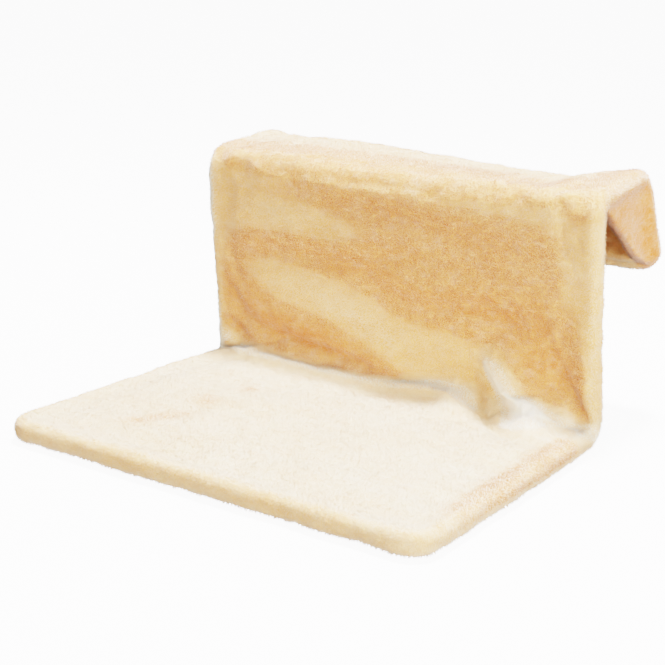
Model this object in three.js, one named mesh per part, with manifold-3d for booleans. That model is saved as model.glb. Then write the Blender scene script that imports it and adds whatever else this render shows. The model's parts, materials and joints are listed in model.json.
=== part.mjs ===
// Radiator cat bed: a bent steel tube frame inside one plush cover.
// The frame is a bed hoop, two side tubes, a cross bar and a hook hoop that
// slides in the side tubes, so that the hook suits radiators of several depths.
//
// Millimetres, +Z up. The bed lies level on the plane z = 0, its free edge is
// the front (-Y), the radiator stands behind it (+Y), and X runs along the
// radiator. The origin is in the middle of the bed's flat underside, ORIGIN_Y in
// front of the tube axis of the bend between bed and back. The back leans LEAN
// degrees over the bed: hung on a radiator the back stands upright and the bed's
// front edge rises by that angle.

import * as THREE from 'three';
import { mergeVertices } from 'three/addons/utils/BufferGeometryUtils.js';
import Module from 'manifold-3d';

const wasm = await Module();
wasm.setup();

// ---------------------------------------------------------------- dimensions
const WIDTH = 450;            // overall width along the radiator
const ROLL = 11.8;            // half thickness of the plush roll on the edges
const BED_DEPTH = 300;        // tube axis, front cross tube to rear bend
const BACK_HEIGHT = 222;      // tube axis, bed to top section
const TOP_DEPTH = 100;        // tube axis, back to hook, at its photographed setting
const HOOK_DROP = 98;         // tube axis, length of the hook's legs
const LEAN = 6;               // degrees, back past square to the bed
const HOOK_FLARE = 21;        // degrees, hook legs away from the back
const SLIDE = 25;             // travel of the hook, deeper radiators
const ORIGIN_Y = 160;         // origin to the rear bend's axis

const TUBE_R = 6.5;           // side tubes and bed hoop, 13 mm outside
const TUBE_WALL = 1.2;
const INNER_R = 5.0;          // hook hoop and joiners, 10 mm outside
const INNER_WALL = 1.2;
const BAR_R = 4.5;            // cross bar, 9 mm outside
const BAR_WALL = 1.0;
const R_CORNER = 18;          // tube axis bend radii
const R_SEAT = 16;
const R_TOP = 17;
const R_HOOK = 18;

const FACE_BACK = 12;         // cover panel, radiator and floor side of the axis
const FACE_SEAT = 10.5;       // cover panel, cat side of the axis
const R_COVE = 34;            // bends of the panel's cat side: into the bed,
const R_EDGE = 4;             // over the upper front edge
const R_SAG = 40;             // and over the hook, where the cloth is slack
const R_SLACK = 30;           // the same bend on the radiator side
const SAG = 8;                // how far the slack hangs below the tubes' bend
const VOID_BACK = 8;          // the same two faces, inside the sleeve
const VOID_SEAT = 5;
const ROLL_VOID = 9;          // sleeve round the tube, half width inside
const FACE_WIDTH = 403;       // flat underside of the top section, between its rolls

const AXIS_X = WIDTH / 2 - ROLL;
const LIFT = FACE_BACK;       // height of the bed's tube axis over the floor
const GAP = 0.3;
const SIDES = 12;

const rad = THREE.MathUtils.degToRad;
const lean = rad(LEAN);
const flare = rad(HOOK_FLARE);

// Side view. up(y, z) takes a point of the upright back's own square axes.
const bedPoint = (y) => new THREE.Vector2(y, LIFT);
const up = (y, z) => new THREE.Vector2(
  y * Math.cos(lean) - z * Math.sin(lean),
  LIFT + y * Math.sin(lean) + z * Math.cos(lean));

// -------------------------------------------------------------------- helpers
function material(color, roughness, metalness) {
  return new THREE.MeshStandardMaterial({ color, roughness, metalness });
}
const MAT = {
  plush: () => material(0xf0dcb6, 1.0, 0.0),
  coated: () => material(0xd9d9d6, 0.45, 0.3),
  zinc: () => material(0xb9bcc0, 0.35, 0.9),
  nylon: () => material(0x2c2c2e, 0.6, 0.0),
  wadding: () => material(0xf6f4ee, 1.0, 0.0),
  tape: () => material(0xe9dcc4, 0.95, 0.0),
};

function toSolid(geometry) {
  let g = geometry.clone();
  g.deleteAttribute('normal');
  g.deleteAttribute('uv');
  g = mergeVertices(g, 1e-4);
  return new wasm.Manifold(new wasm.Mesh({
    numProp: 3,
    vertProperties: new Float32Array(g.attributes.position.array),
    triVerts: new Uint32Array(g.index.array),
  }));
}

function toGeometry(solid) {
  const mesh = solid.getMesh();
  const g = new THREE.BufferGeometry();
  const n = mesh.numProp;
  const count = mesh.vertProperties.length / n;
  const pos = new Float32Array(count * 3);
  for (let i = 0; i < count; i++) {
    for (let k = 0; k < 3; k++) pos[i * 3 + k] = mesh.vertProperties[i * n + k];
  }
  g.setAttribute('position', new THREE.BufferAttribute(pos, 3));
  g.setIndex(new THREE.BufferAttribute(new Uint32Array(mesh.triVerts), 1));
  return g;
}

// A path of straight runs and round bends. Stations lie at the bends only, so
// that a long straight run costs no more than a short one.
class BentPath extends THREE.Curve {
  constructor(points, radii, steps = 5) {
    super();
    const p = [points[0].clone()];
    const t = [];
    for (let i = 1; i < points.length - 1; i++) {
      const a = points[i - 1].clone().sub(points[i]).normalize();
      const b = points[i + 1].clone().sub(points[i]).normalize();
      const angle = a.angleTo(b);
      const run = radii[i] / Math.tan(angle / 2);
      const start = points[i].clone().addScaledVector(a, run);
      const centre = points[i].clone().addScaledVector(
        a.clone().add(b).normalize(), radii[i] / Math.sin(angle / 2));
      const u = start.clone().sub(centre).normalize();
      const v = points[i].clone().addScaledVector(b, run).sub(centre);
      v.addScaledVector(u, -v.dot(u)).normalize();
      if (i === 1) t.push(a.clone().negate());
      for (let k = 0; k <= steps; k++) {
        const w = (Math.PI - angle) * k / steps;
        p.push(centre.clone()
          .addScaledVector(u, radii[i] * Math.cos(w))
          .addScaledVector(v, radii[i] * Math.sin(w)));
        t.push(u.clone().multiplyScalar(-Math.sin(w)).addScaledVector(v, Math.cos(w)));
      }
    }
    const last = points.length - 1;
    p.push(points[last].clone());
    const end = points[last].clone().sub(points[last - 1]).normalize();
    if (points.length === 2) t.push(end.clone());
    t.push(end);
    this.stations = p;
    this.tangents = t;
    this.steps = p.length - 1;
  }
  at(u) { return Math.min(this.steps, Math.max(0, Math.round(u * this.steps))); }
  getPoint(u, out = new THREE.Vector3()) { return out.copy(this.stations[this.at(u)]); }
  getPointAt(u, out) { return this.getPoint(u, out); }
  getTangent(u, out = new THREE.Vector3()) { return out.copy(this.tangents[this.at(u)]); }
  getTangentAt(u, out) { return this.getTangent(u, out); }
}

// A ring of SIDES flats; apothem is the distance of the flats from the axis.
function ringPoints(apothem, sides = SIDES) {
  const r = apothem / Math.cos(Math.PI / sides);
  const list = [];
  for (let i = 0; i < sides; i++) {
    const w = 2 * Math.PI * (i + 0.5) / sides;
    list.push(new THREE.Vector2(r * Math.cos(w), r * Math.sin(w)));
  }
  return list;
}

function sweep(path, apothem, bore = 0) {
  const shape = new THREE.Shape(ringPoints(apothem));
  if (bore > 0) shape.holes.push(new THREE.Path(ringPoints(bore).reverse()));
  return new THREE.ExtrudeGeometry(shape, {
    steps: path.steps, extrudePath: path, bevelEnabled: false,
  });
}

const sideToSpace = new THREE.Matrix4().makeBasis(
  new THREE.Vector3(0, 1, 0), new THREE.Vector3(0, 0, 1), new THREE.Vector3(1, 0, 0));

// A panel: a band between the offsets of two side view paths, one on the cat's
// side and one on the radiator side, drawn out along X.
function panel(seatPath, backPath, seat, back, halfWidth) {
  const left = seatPath.stations.map((s, i) => {
    const d = seatPath.tangents[i];
    return new THREE.Vector2(s.y - d.z * seat, s.z + d.y * seat);
  });
  const right = backPath.stations.map((s, i) => {
    const d = backPath.tangents[i];
    return new THREE.Vector2(s.y + d.z * back, s.z - d.y * back);
  });
  const g = new THREE.ExtrudeGeometry(new THREE.Shape([...right, ...left.reverse()]), {
    depth: 2 * halfWidth, bevelEnabled: false, steps: 1,
  });
  g.translate(0, 0, -halfWidth);
  g.applyMatrix4(sideToSpace);
  return g;
}

// A lathed piece on an axis along X. Profile points are [radius, distance].
function turnedX(profile, segments = SIDES) {
  const g = new THREE.LatheGeometry(profile.map(([r, d]) => new THREE.Vector2(r, d)), segments);
  g.rotateZ(-Math.PI / 2);
  return g;
}
function turnedY(profile, segments = SIDES) {
  return new THREE.LatheGeometry(profile.map(([r, d]) => new THREE.Vector2(r, d)), segments);
}

const at = (x, p) => new THREE.Vector3(x, p.x, p.y);
const object = new THREE.Group();
const root = new THREE.Group();
root.position.y = ORIGIN_Y;
object.add(root);

function addMesh(name, geometry, mat, parent = root) {
  const mesh = new THREE.Mesh(geometry, mat);
  mesh.name = name;
  parent.add(mesh);
  return mesh;
}

// The upright group holds what is square to the back: y is away from the back,
// z is along it.
const upright = new THREE.Group();
upright.position.set(0, 0, LIFT);
upright.rotation.x = lean;
root.add(upright);

// ------------------------------------------------------------------ the frame
const JOIN_Y = -70;                  // where the bed hoop meets the side tubes
const JOIN_HALF = 30;                // joiner, half length
const SCREW_OFFSET = 15;
const MOUTH_Y = 72;                  // end of a side tube over the radiator
const RAIL_END_Y = 20.3;             // front end of the hook's rails
const CLAMP_Y = 58;
const PIN_Y = 66;
const BAR_Z = BACK_HEIGHT - 24;
const BUSH_BORE = 5.75;              // clears the corners of the rail's flats

// Bed hoop: open U, front cross tube and two side rails.
const bedHoopPath = new BentPath([
  at(-AXIS_X, bedPoint(JOIN_Y - GAP / 2)), at(-AXIS_X, bedPoint(-BED_DEPTH)),
  at(AXIS_X, bedPoint(-BED_DEPTH)), at(AXIS_X, bedPoint(JOIN_Y - GAP / 2)),
], [0, R_CORNER, R_CORNER, 0]);

const screwHole = (x, y, z, length, r = 2.3) => {
  const g = new THREE.CylinderGeometry(r, r, length, SIDES);
  g.rotateZ(Math.PI / 2);
  g.translate(x, y, z);
  return toSolid(g);
};

{
  let hoop = toSolid(sweep(bedHoopPath, TUBE_R, TUBE_R - TUBE_WALL));
  for (const s of [-1, 1]) {
    hoop = hoop.subtract(screwHole(s * (AXIS_X - TUBE_R), JOIN_Y - SCREW_OFFSET, LIFT, 6));
  }
  addMesh('bed_hoop_tube', toGeometry(hoop), MAT.coated());
}

for (const [side, s] of [['left', -1], ['right', 1]]) {
  const x = s * AXIS_X;

  // Side tube: bed stub, back upright and top stub in one bent tube.
  const path = new BentPath([
    at(x, bedPoint(JOIN_Y + GAP / 2)), at(x, bedPoint(0)),
    at(x, up(0, BACK_HEIGHT)), at(x, up(MOUTH_Y, BACK_HEIGHT)),
  ], [0, R_SEAT, R_TOP, 0]);
  let tube = toSolid(sweep(path, TUBE_R, TUBE_R - TUBE_WALL));
  tube = tube.subtract(screwHole(s * (AXIS_X - TUBE_R), JOIN_Y + SCREW_OFFSET, LIFT, 6));
  const bar = up(0, BAR_Z);
  tube = tube.subtract(screwHole(x, bar.x, bar.y, 30));
  const clamp = up(CLAMP_Y, BACK_HEIGHT);
  tube = tube.subtract(screwHole(s * (AXIS_X - TUBE_R), clamp.x, clamp.y, 6));
  const pin = up(PIN_Y, BACK_HEIGHT);
  tube = tube.subtract(screwHole(s * (AXIS_X + TUBE_R), pin.x, pin.y, 6, 1.8));
  addMesh(`${side}_side_tube`, toGeometry(tube), MAT.coated());

  // Joiner sleeve between the bed hoop and the side tube.
  const sleevePath = new BentPath([
    at(x, bedPoint(JOIN_Y - JOIN_HALF)), at(x, bedPoint(JOIN_Y + JOIN_HALF)),
  ], [0, 0]);
  let sleeve = toSolid(sweep(sleevePath, INNER_R, INNER_R - 1.5));
  for (const d of [-1, 1]) {
    sleeve = sleeve.subtract(
      screwHole(s * (AXIS_X - INNER_R), JOIN_Y + d * SCREW_OFFSET, LIFT, 4.4));
  }
  addMesh(`${side}_bed_joiner`, toGeometry(sleeve), MAT.zinc());

  // Joiner screws, put in from the inner side of the tube.
  const head = AXIS_X - TUBE_R - GAP;
  for (const [name, d] of [['front', -1], ['rear', 1]]) {
    const g = turnedX([[0, 0], [3.0, 0], [3.5, 0.9], [3.5, 2.8], [2.0, 2.8], [2.0, 8.6], [0, 8.6]]);
    const m = addMesh(`${side}_${name}_joiner_screw`, g, MAT.zinc());
    m.position.set(s * (head - 2.8), JOIN_Y + d * SCREW_OFFSET, LIFT);
    if (s < 0) m.rotation.z = Math.PI;
  }

  // Cross bar end: threaded insert in the bar, screw from outside the side tube.
  const insert = turnedX([[2.3, 0], [3.2, 0], [3.2, 18], [2.3, 18], [2.3, 0]]);
  const im = addMesh(`${side}_crossbar_insert`, insert, MAT.zinc(), upright);
  im.position.set(s * (AXIS_X - TUBE_R - GAP - 1), 0, BAR_Z);
  if (s > 0) im.rotation.z = Math.PI;

  const bolt = turnedX([[0, 0], [3.0, 0], [3.4, 0.5], [3.4, 1.4], [2.0, 1.4], [2.0, 26], [0, 26]]);
  const bm = addMesh(`${side}_crossbar_screw`, bolt, MAT.zinc(), upright);
  bm.position.set(s * (AXIS_X + TUBE_R + GAP + 1.4), 0, BAR_Z);
  if (s > 0) bm.rotation.z = Math.PI;

  // Guide bush on the mouth of the side tube.
  const bush = turnedY([
    [BUSH_BORE, 0], [7.5, 0], [7.5, 6.4], [6.9, 7.0], [BUSH_BORE, 7.0], [BUSH_BORE, 0],
  ]);
  const bu = addMesh(`${side}_slide_bush`, bush, MAT.nylon(), upright);
  bu.position.set(x, MOUTH_Y + GAP, BACK_HEIGHT);

  // Clamp nut fixed to the side tube, and its screw, which bears on the rail.
  const nut = turnedX([[2.3, 0], [3.6, 0], [3.6, 3.2], [2.3, 3.2], [2.3, 0]], 6);
  const nm = addMesh(`${side}_clamp_nut`, nut, MAT.zinc(), upright);
  nm.position.set(s * (head - 3.2), CLAMP_Y, BACK_HEIGHT);
  if (s < 0) nm.rotation.z = Math.PI;

  const clampScrew = turnedX([
    [0, 0], [3.4, 0], [3.8, 0.6], [3.8, 3.4], [2.0, 3.4], [2.0, 8.2], [0, 8.2],
  ]);
  const cm = addMesh(`${side}_clamp_screw`, clampScrew, MAT.zinc(), upright);
  cm.position.set(s * (head - 3.2 - GAP - 3.4), CLAMP_Y, BACK_HEIGHT);
  if (s < 0) cm.rotation.z = Math.PI;

  // Stop pin in the side tube; its tip runs in the slot of the hook's rail.
  const stop = turnedX([[0, 0], [1.5, 0], [1.5, 4.0], [2.6, 4.0], [2.6, 4.9], [0, 4.9]], 10);
  const sm = addMesh(`${side}_stop_pin`, stop, MAT.zinc(), upright);
  sm.position.set(s * (AXIS_X + TUBE_R + GAP - 4.0), PIN_Y, BACK_HEIGHT);
  if (s < 0) sm.rotation.z = Math.PI;
}

// Cross bar under the top bend: it holds the upper front edge of the cover.
{
  const path = new BentPath([
    new THREE.Vector3(-(AXIS_X - TUBE_R - GAP), 0, BAR_Z),
    new THREE.Vector3(AXIS_X - TUBE_R - GAP, 0, BAR_Z),
  ], [0, 0]);
  addMesh('upper_crossbar', sweep(path, BAR_R, BAR_R - BAR_WALL), MAT.coated(), upright);
}

// Hook hoop: two rails, two legs and the cross tube in the hem, one bent tube.
const hookEdge = new THREE.Vector2(
  TOP_DEPTH + HOOK_DROP * Math.sin(flare), BACK_HEIGHT - HOOK_DROP * Math.cos(flare));
const hookPoints = (start) => [
  new THREE.Vector3(-AXIS_X, start, BACK_HEIGHT),
  new THREE.Vector3(-AXIS_X, TOP_DEPTH, BACK_HEIGHT),
  new THREE.Vector3(-AXIS_X, hookEdge.x, hookEdge.y),
  new THREE.Vector3(AXIS_X, hookEdge.x, hookEdge.y),
  new THREE.Vector3(AXIS_X, TOP_DEPTH, BACK_HEIGHT),
  new THREE.Vector3(AXIS_X, start, BACK_HEIGHT),
];
const hookRadii = [0, R_TOP, R_HOOK, R_HOOK, R_TOP, 0];
{
  let hook = toSolid(sweep(new BentPath(hookPoints(RAIL_END_Y), hookRadii), INNER_R, INNER_R - INNER_WALL));
  for (const s of [-1, 1]) {
    const slot = new THREE.BoxGeometry(6, SLIDE + 3.6, 3.6);
    slot.translate(s * (AXIS_X + INNER_R), PIN_Y - SLIDE / 2, BACK_HEIGHT);
    hook = hook.subtract(toSolid(slot));
  }
  addMesh('hook_hoop_tube', toGeometry(hook), MAT.coated(), upright);
}
for (const [side, s] of [['left', -1], ['right', 1]]) {
  const plug = turnedY([
    [0, 0], [4.4, 0], [INNER_R, 0.6], [INNER_R, 3.0], [3.4, 3.0], [3.4, 14], [3.0, 15], [0, 15],
  ]);
  const m = addMesh(`${side}_rail_plug`, plug, MAT.nylon(), upright);
  m.position.set(s * AXIS_X, RAIL_END_Y - 3.0 - GAP, BACK_HEIGHT);
}

// ------------------------------------------------------------------ the cover
// Each length of the cover is a sleeve: a roll round the tubes on its edges and
// a double panel between them, open where the next length goes on.
const COVER_BED_END = -23;           // seams of the lengths, along the path
const COVER_TOP_START = 17.4;
const COVER_TOP_END = 56;
const COVER_HOOK_START = 84;

// Bed: closed at the front and sides, open at the rear.
{
  const hoop = (rear) => new BentPath([
    at(-AXIS_X, bedPoint(rear)), at(-AXIS_X, bedPoint(-BED_DEPTH)),
    at(AXIS_X, bedPoint(-BED_DEPTH)), at(AXIS_X, bedPoint(rear)),
  ], [0, R_CORNER, R_CORNER, 0]);
  const run = (rear) => new BentPath([
    new THREE.Vector3(0, -BED_DEPTH, LIFT), new THREE.Vector3(0, rear, LIFT)], [0, 0]);
  const flat = (rear, seat, back) => toSolid(panel(run(rear), run(rear), seat, back, AXIS_X));
  const panelSolid = flat(COVER_BED_END, FACE_SEAT, FACE_BACK);
  // The panel's front corners follow the bend of the hoop.
  const outline = new THREE.Shape();
  const fx = AXIS_X;
  const fy = -BED_DEPTH;
  outline.moveTo(-fx, 10);
  outline.lineTo(-fx, fy + R_CORNER);
  for (let k = 1; k <= 5; k++) {
    const w = Math.PI + (Math.PI / 2) * k / 5;
    outline.lineTo(-fx + R_CORNER + R_CORNER * Math.cos(w), fy + R_CORNER + R_CORNER * Math.sin(w));
  }
  for (let k = 0; k <= 5; k++) {
    const w = 1.5 * Math.PI + (Math.PI / 2) * k / 5;
    outline.lineTo(fx - R_CORNER + R_CORNER * Math.cos(w), fy + R_CORNER + R_CORNER * Math.sin(w));
  }
  outline.lineTo(fx, 10);
  const plate = new THREE.ExtrudeGeometry(outline, { depth: 60, bevelEnabled: false, steps: 1 });
  plate.translate(0, 0, -20);
  const plateSolid = toSolid(plate);
  let solid = panelSolid.intersect(plateSolid).add(toSolid(sweep(hoop(COVER_BED_END), ROLL)));
  let hollow = flat(COVER_BED_END + 3, VOID_SEAT, VOID_BACK).intersect(plateSolid)
    .add(toSolid(sweep(hoop(COVER_BED_END + 3), ROLL_VOID)));
  addMesh('bed_cover', toGeometry(solid.subtract(hollow)), MAT.plush());
}

// Back: round the lower bend, up the back and round the upper bend. The panel's
// cat side takes the lower bend in a wide cove and the upper bend sharply, over
// the cross bar.
{
  const path = (x, start, end, low = R_SEAT, high = R_TOP) => new BentPath([
    at(x, bedPoint(start)), at(x, bedPoint(0)), at(x, up(0, BACK_HEIGHT)), at(x, up(end, BACK_HEIGHT)),
  ], [0, low, high, 0]);
  // The cove reaches farther forward than the seam, so the panel is cut there.
  const cut = (start, end, seat, back) => {
    const ahead = new THREE.BoxGeometry(2 * WIDTH, 100, 100);
    ahead.translate(0, start - 50, 40);
    return toSolid(panel(path(0, -60, end, R_COVE, R_EDGE), path(0, -60, end), seat, back, AXIS_X))
      .subtract(toSolid(ahead));
  };
  const s0 = COVER_BED_END + GAP;
  const e0 = COVER_TOP_START;
  let solid = cut(s0, e0, FACE_SEAT, FACE_BACK);
  let hollow = cut(s0 - 3, e0 + 3, VOID_SEAT, VOID_BACK);
  for (const x of [-AXIS_X, AXIS_X]) {
    solid = solid.add(toSolid(sweep(path(x, s0, e0), ROLL)));
    hollow = hollow.add(toSolid(sweep(path(x, s0 - 3, e0 + 3), ROLL_VOID)));
  }
  addMesh('back_cover', toGeometry(solid.subtract(hollow)), MAT.plush());
}

// Top: a straight sleeve on the side tubes, and the loose length behind it that
// gathers or stretches as the hook slides. The loose length and the hook's panel
// share one slack bend.
function rearPanel(start, end, seat, back) {
  const hem = new THREE.Vector3(0, hookEdge.x, hookEdge.y);
  const seatPath = new BentPath([
    new THREE.Vector3(0, 40, BACK_HEIGHT), new THREE.Vector3(0, 59, BACK_HEIGHT),
    new THREE.Vector3(0, TOP_DEPTH - SAG / 4, BACK_HEIGHT - SAG), hem], [0, 26, R_SAG, 0]);
  const backPath = new BentPath([
    new THREE.Vector3(0, 40, BACK_HEIGHT), new THREE.Vector3(0, TOP_DEPTH, BACK_HEIGHT), hem,
  ], [0, R_SLACK, 0]);
  return toSolid(panel(seatPath, backPath, seat, back, AXIS_X))
    .trimByPlane([0, 1, 0], start).trimByPlane([0, -1, 0], -end);
}
function topRoll(start, end, apothem) {
  const one = (x) => toSolid(sweep(new BentPath([
    new THREE.Vector3(x, start, BACK_HEIGHT), new THREE.Vector3(x, end, BACK_HEIGHT)], [0, 0]), apothem));
  return one(-AXIS_X).add(one(AXIS_X));
}
{
  const flat = (start, end, seat, back) => {
    const run = new BentPath([
      new THREE.Vector3(0, start, BACK_HEIGHT), new THREE.Vector3(0, end, BACK_HEIGHT)], [0, 0]);
    return toSolid(panel(run, run, seat, back, AXIS_X));
  };
  const start = COVER_TOP_START + GAP;
  const end = COVER_TOP_END;
  const solid = flat(start, end, FACE_SEAT, FACE_BACK).add(topRoll(start, end, ROLL));
  const hollow = flat(start - 3, end + 3, VOID_SEAT, VOID_BACK).add(topRoll(start - 3, end + 3, ROLL_VOID));
  // The rolled ends stand back from the flat face that lies on the radiator.
  const relief = (s) => {
    const g = new THREE.BoxGeometry(60, 200, 5);
    g.translate(s * (FACE_WIDTH / 2 + 30), 60, BACK_HEIGHT - FACE_BACK + 0.25 - 2.5);
    return toSolid(g);
  };
  addMesh('top_cover', toGeometry(solid.subtract(hollow).subtract(relief(-1)).subtract(relief(1))), MAT.plush(), upright);
}
{
  const start = COVER_TOP_END + GAP;
  const end = COVER_HOOK_START - GAP;
  const solid = rearPanel(start, end, FACE_SEAT, FACE_BACK).add(topRoll(start, end, ROLL));
  const hollow = rearPanel(start - 3, end + 3, VOID_SEAT, VOID_BACK)
    .add(topRoll(start - 3, end + 3, ROLL_VOID));
  addMesh('top_slack_cover', toGeometry(solid.subtract(hollow)), MAT.plush(), upright);
}

// Hook: round the rear bend and down the legs, closed at the hem.
{
  const cutOutline = new THREE.Shape();
  cutOutline.moveTo(-AXIS_X, -200);
  cutOutline.lineTo(-AXIS_X, HOOK_DROP - R_HOOK);
  for (let k = 1; k <= 5; k++) {
    const w = Math.PI - (Math.PI / 2) * k / 5;
    cutOutline.lineTo(-AXIS_X + R_HOOK + R_HOOK * Math.cos(w), HOOK_DROP - R_HOOK + R_HOOK * Math.sin(w));
  }
  for (let k = 0; k <= 5; k++) {
    const w = Math.PI / 2 - (Math.PI / 2) * k / 5;
    cutOutline.lineTo(AXIS_X - R_HOOK + R_HOOK * Math.cos(w), HOOK_DROP - R_HOOK + R_HOOK * Math.sin(w));
  }
  cutOutline.lineTo(AXIS_X, -200);
  const plate = new THREE.ExtrudeGeometry(cutOutline, { depth: 240, bevelEnabled: false, steps: 1 });
  plate.translate(0, 0, -120);
  // Shape x stays x; shape y runs down the leg; depth is square to the leg.
  const down = new THREE.Vector3(0, Math.sin(flare), -Math.cos(flare));
  const x = new THREE.Vector3(1, 0, 0);
  plate.applyMatrix4(new THREE.Matrix4().makeBasis(x, down, x.clone().cross(down)));
  plate.translate(0, TOP_DEPTH, BACK_HEIGHT);
  const plateSolid = toSolid(plate);
  const solid = rearPanel(COVER_HOOK_START, 500, FACE_SEAT, FACE_BACK)
    .intersect(plateSolid)
    .add(toSolid(sweep(new BentPath(hookPoints(COVER_HOOK_START), hookRadii), ROLL)));
  const hollow = rearPanel(COVER_HOOK_START - 3, 500, VOID_SEAT, VOID_BACK)
    .intersect(plateSolid)
    .add(toSolid(sweep(new BentPath(hookPoints(COVER_HOOK_START - 3), hookRadii), ROLL_VOID)));
  addMesh('hook_cover', toGeometry(solid.subtract(hollow)), MAT.plush(), upright);
}

// The cover's inner layer at the ends of the hook: it doesn't follow the bend but
// spans it, from under the upper bend down to the hem.
for (const [side, s] of [['left', -1], ['right', 1]]) {
  const top = BACK_HEIGHT - FACE_BACK - GAP - 0.2;
  const centre = new THREE.Vector2(
    TOP_DEPTH - R_SLACK * Math.tan((Math.PI / 2 - flare) / 2), BACK_HEIGHT - R_SLACK);
  const inner = R_SLACK - FACE_BACK - 0.5;
  const outline = [new THREE.Vector2(17, 206), new THREE.Vector2(21, top)];
  for (let k = 0; k <= 4; k++) {
    const w = (Math.PI / 2 - flare) * k / 4;
    outline.push(new THREE.Vector2(centre.x + inner * Math.sin(w), centre.y + inner * Math.cos(w)));
  }
  for (const [y, z] of [[118.5, 139], [116, 135], [103, 142.5], [84, 158], [68, 173], [52, 186], [38, 199]]) {
    outline.push(new THREE.Vector2(y, z));
  }
  const g = new THREE.ExtrudeGeometry(new THREE.Shape(outline), { depth: 22, bevelEnabled: false, steps: 1 });
  g.applyMatrix4(sideToSpace);
  const m = addMesh(`${side}_hook_web`, g, MAT.plush(), upright);
  m.position.x = s > 0 ? 202 : -224;
}

// Wadding sheets between the two layers of the cover.
{
  const bedPad = new THREE.BoxGeometry(388, 214, 8);
  const m = addMesh('bed_wadding', bedPad, MAT.wadding());
  m.position.set(0, -BED_DEPTH + 14 + 107, LIFT - 1.2);
  const backPad = new THREE.BoxGeometry(388, 8, 150);
  const b = addMesh('back_wadding', backPad, MAT.wadding(), upright);
  b.position.set(0, 1.2, 28 + 75);
}

// Closure of the cover, inside its underside just in front of the rear bend.
{
  const loop = new THREE.BoxGeometry(370, 20, 1.2);
  const a = addMesh('closure_loop_strip', loop, MAT.tape());
  a.position.set(0, -44, LIFT - VOID_BACK + 0.5 + 0.6);
  const hookStrip = new THREE.BoxGeometry(370, 20, 1.2);
  const b = addMesh('closure_hook_strip', hookStrip, MAT.tape());
  b.position.set(0, -44, LIFT - VOID_BACK + 0.5 + 1.2 + 0.4 + 0.6);
}

export default object;
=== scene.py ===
import json
import math

import bpy
import bmesh
import numpy as np
from mathutils import Matrix, Vector


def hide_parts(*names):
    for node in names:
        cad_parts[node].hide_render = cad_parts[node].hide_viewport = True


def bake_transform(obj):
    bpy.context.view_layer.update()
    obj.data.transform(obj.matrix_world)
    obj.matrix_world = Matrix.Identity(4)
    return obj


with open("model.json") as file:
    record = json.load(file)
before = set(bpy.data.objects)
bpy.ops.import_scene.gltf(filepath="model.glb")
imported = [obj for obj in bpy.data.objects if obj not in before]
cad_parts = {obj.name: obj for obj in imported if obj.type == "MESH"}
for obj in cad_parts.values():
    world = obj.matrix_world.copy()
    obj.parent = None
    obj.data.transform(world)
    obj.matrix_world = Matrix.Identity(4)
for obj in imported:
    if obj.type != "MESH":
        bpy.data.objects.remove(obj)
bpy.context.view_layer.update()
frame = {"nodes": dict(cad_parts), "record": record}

rng = np.random.default_rng(7)

# ------------------------------------------------------------------ the camera
cam_data = bpy.data.cameras.new("camera")
cam = bpy.data.objects.new("camera", cam_data)
bpy.context.scene.collection.objects.link(cam)
bpy.context.scene.view_settings.view_transform = "Filmic"
bpy.context.scene.view_settings.look = "Very High Contrast"
cx = Vector((0.830122, 0.557097, 0.023230))
cy = Vector((-0.134806, 0.160098, 0.977853))
cz = Vector((0.541040, -0.814869, 0.208001))
m = Matrix.Identity(4)
for row in range(3):
    m[row][0], m[row][1], m[row][2] = cx[row], cy[row], cz[row]
m[0][3], m[1][3], m[2][3] = 0.69588, -0.93993, 0.42958
cam.matrix_world = m
cam_data.sensor_width = 36.0
cam_data.lens = 73.242
cam_data.shift_x = -0.05708
cam_data.shift_y = -0.11804
cam_data.clip_start = 0.05
cam_data.clip_end = 60.0
bpy.context.scene.camera = cam

# ------------------------------------------------- dimensions, as in the frame
# Millimetres. s runs along the tube axis: 0 at the bed's front tube, S_B at the
# rear bend, S_C at the upper bend, S_E at the bend over the hook, S_F at the hem.
D, H, T, K = 300.0, 222.0, 100.0, 98.0
LEAN, FLARE = math.radians(6.0), math.radians(21.0)
AXIS_X, HALF_W = 213.2, 225.0
ORIGIN_Y, LIFT = 160.0, 12.0
S_B, S_C, S_E, S_F = D, D + H, D + H + T, D + H + T + K
PILE = 2.0                  # height of the pile over the backing cloth
R_ROLL = 11.8 - PILE        # backing cloth round the tube
EDGE = HALF_W - AXIS_X      # tube axis to the outermost pile


def up(y, z):
    return np.array([ORIGIN_Y + y * math.cos(LEAN) - z * math.sin(LEAN),
                     LIFT + y * math.sin(LEAN) + z * math.cos(LEAN)])


P_A = np.array([ORIGIN_Y - D, LIFT])
P_B = np.array([ORIGIN_Y, LIFT])
P_C = up(0, H)
P_F = up(T + K * math.sin(FLARE), H - K * math.cos(FLARE))
KNOT_S = np.array([0.0, S_B, S_C, S_E, S_F])


def smooth(a, b, v):
    t = np.clip((np.asarray(v, float) - a) / (b - a), 0.0, 1.0)
    return t * t * (3 - 2 * t)


def table(x, pairs):
    """Soft interpolation of (x, value) pairs."""
    p = np.array(pairs, float)
    i = np.clip(np.searchsorted(p[:, 0], x) - 1, 0, len(p) - 2)
    t = np.clip((x - p[i, 0]) / (p[i + 1, 0] - p[i, 0]), 0, 1)
    t = t * t * (3 - 2 * t)
    return p[i, 1] * (1 - t) + p[i + 1, 1] * t


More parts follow.
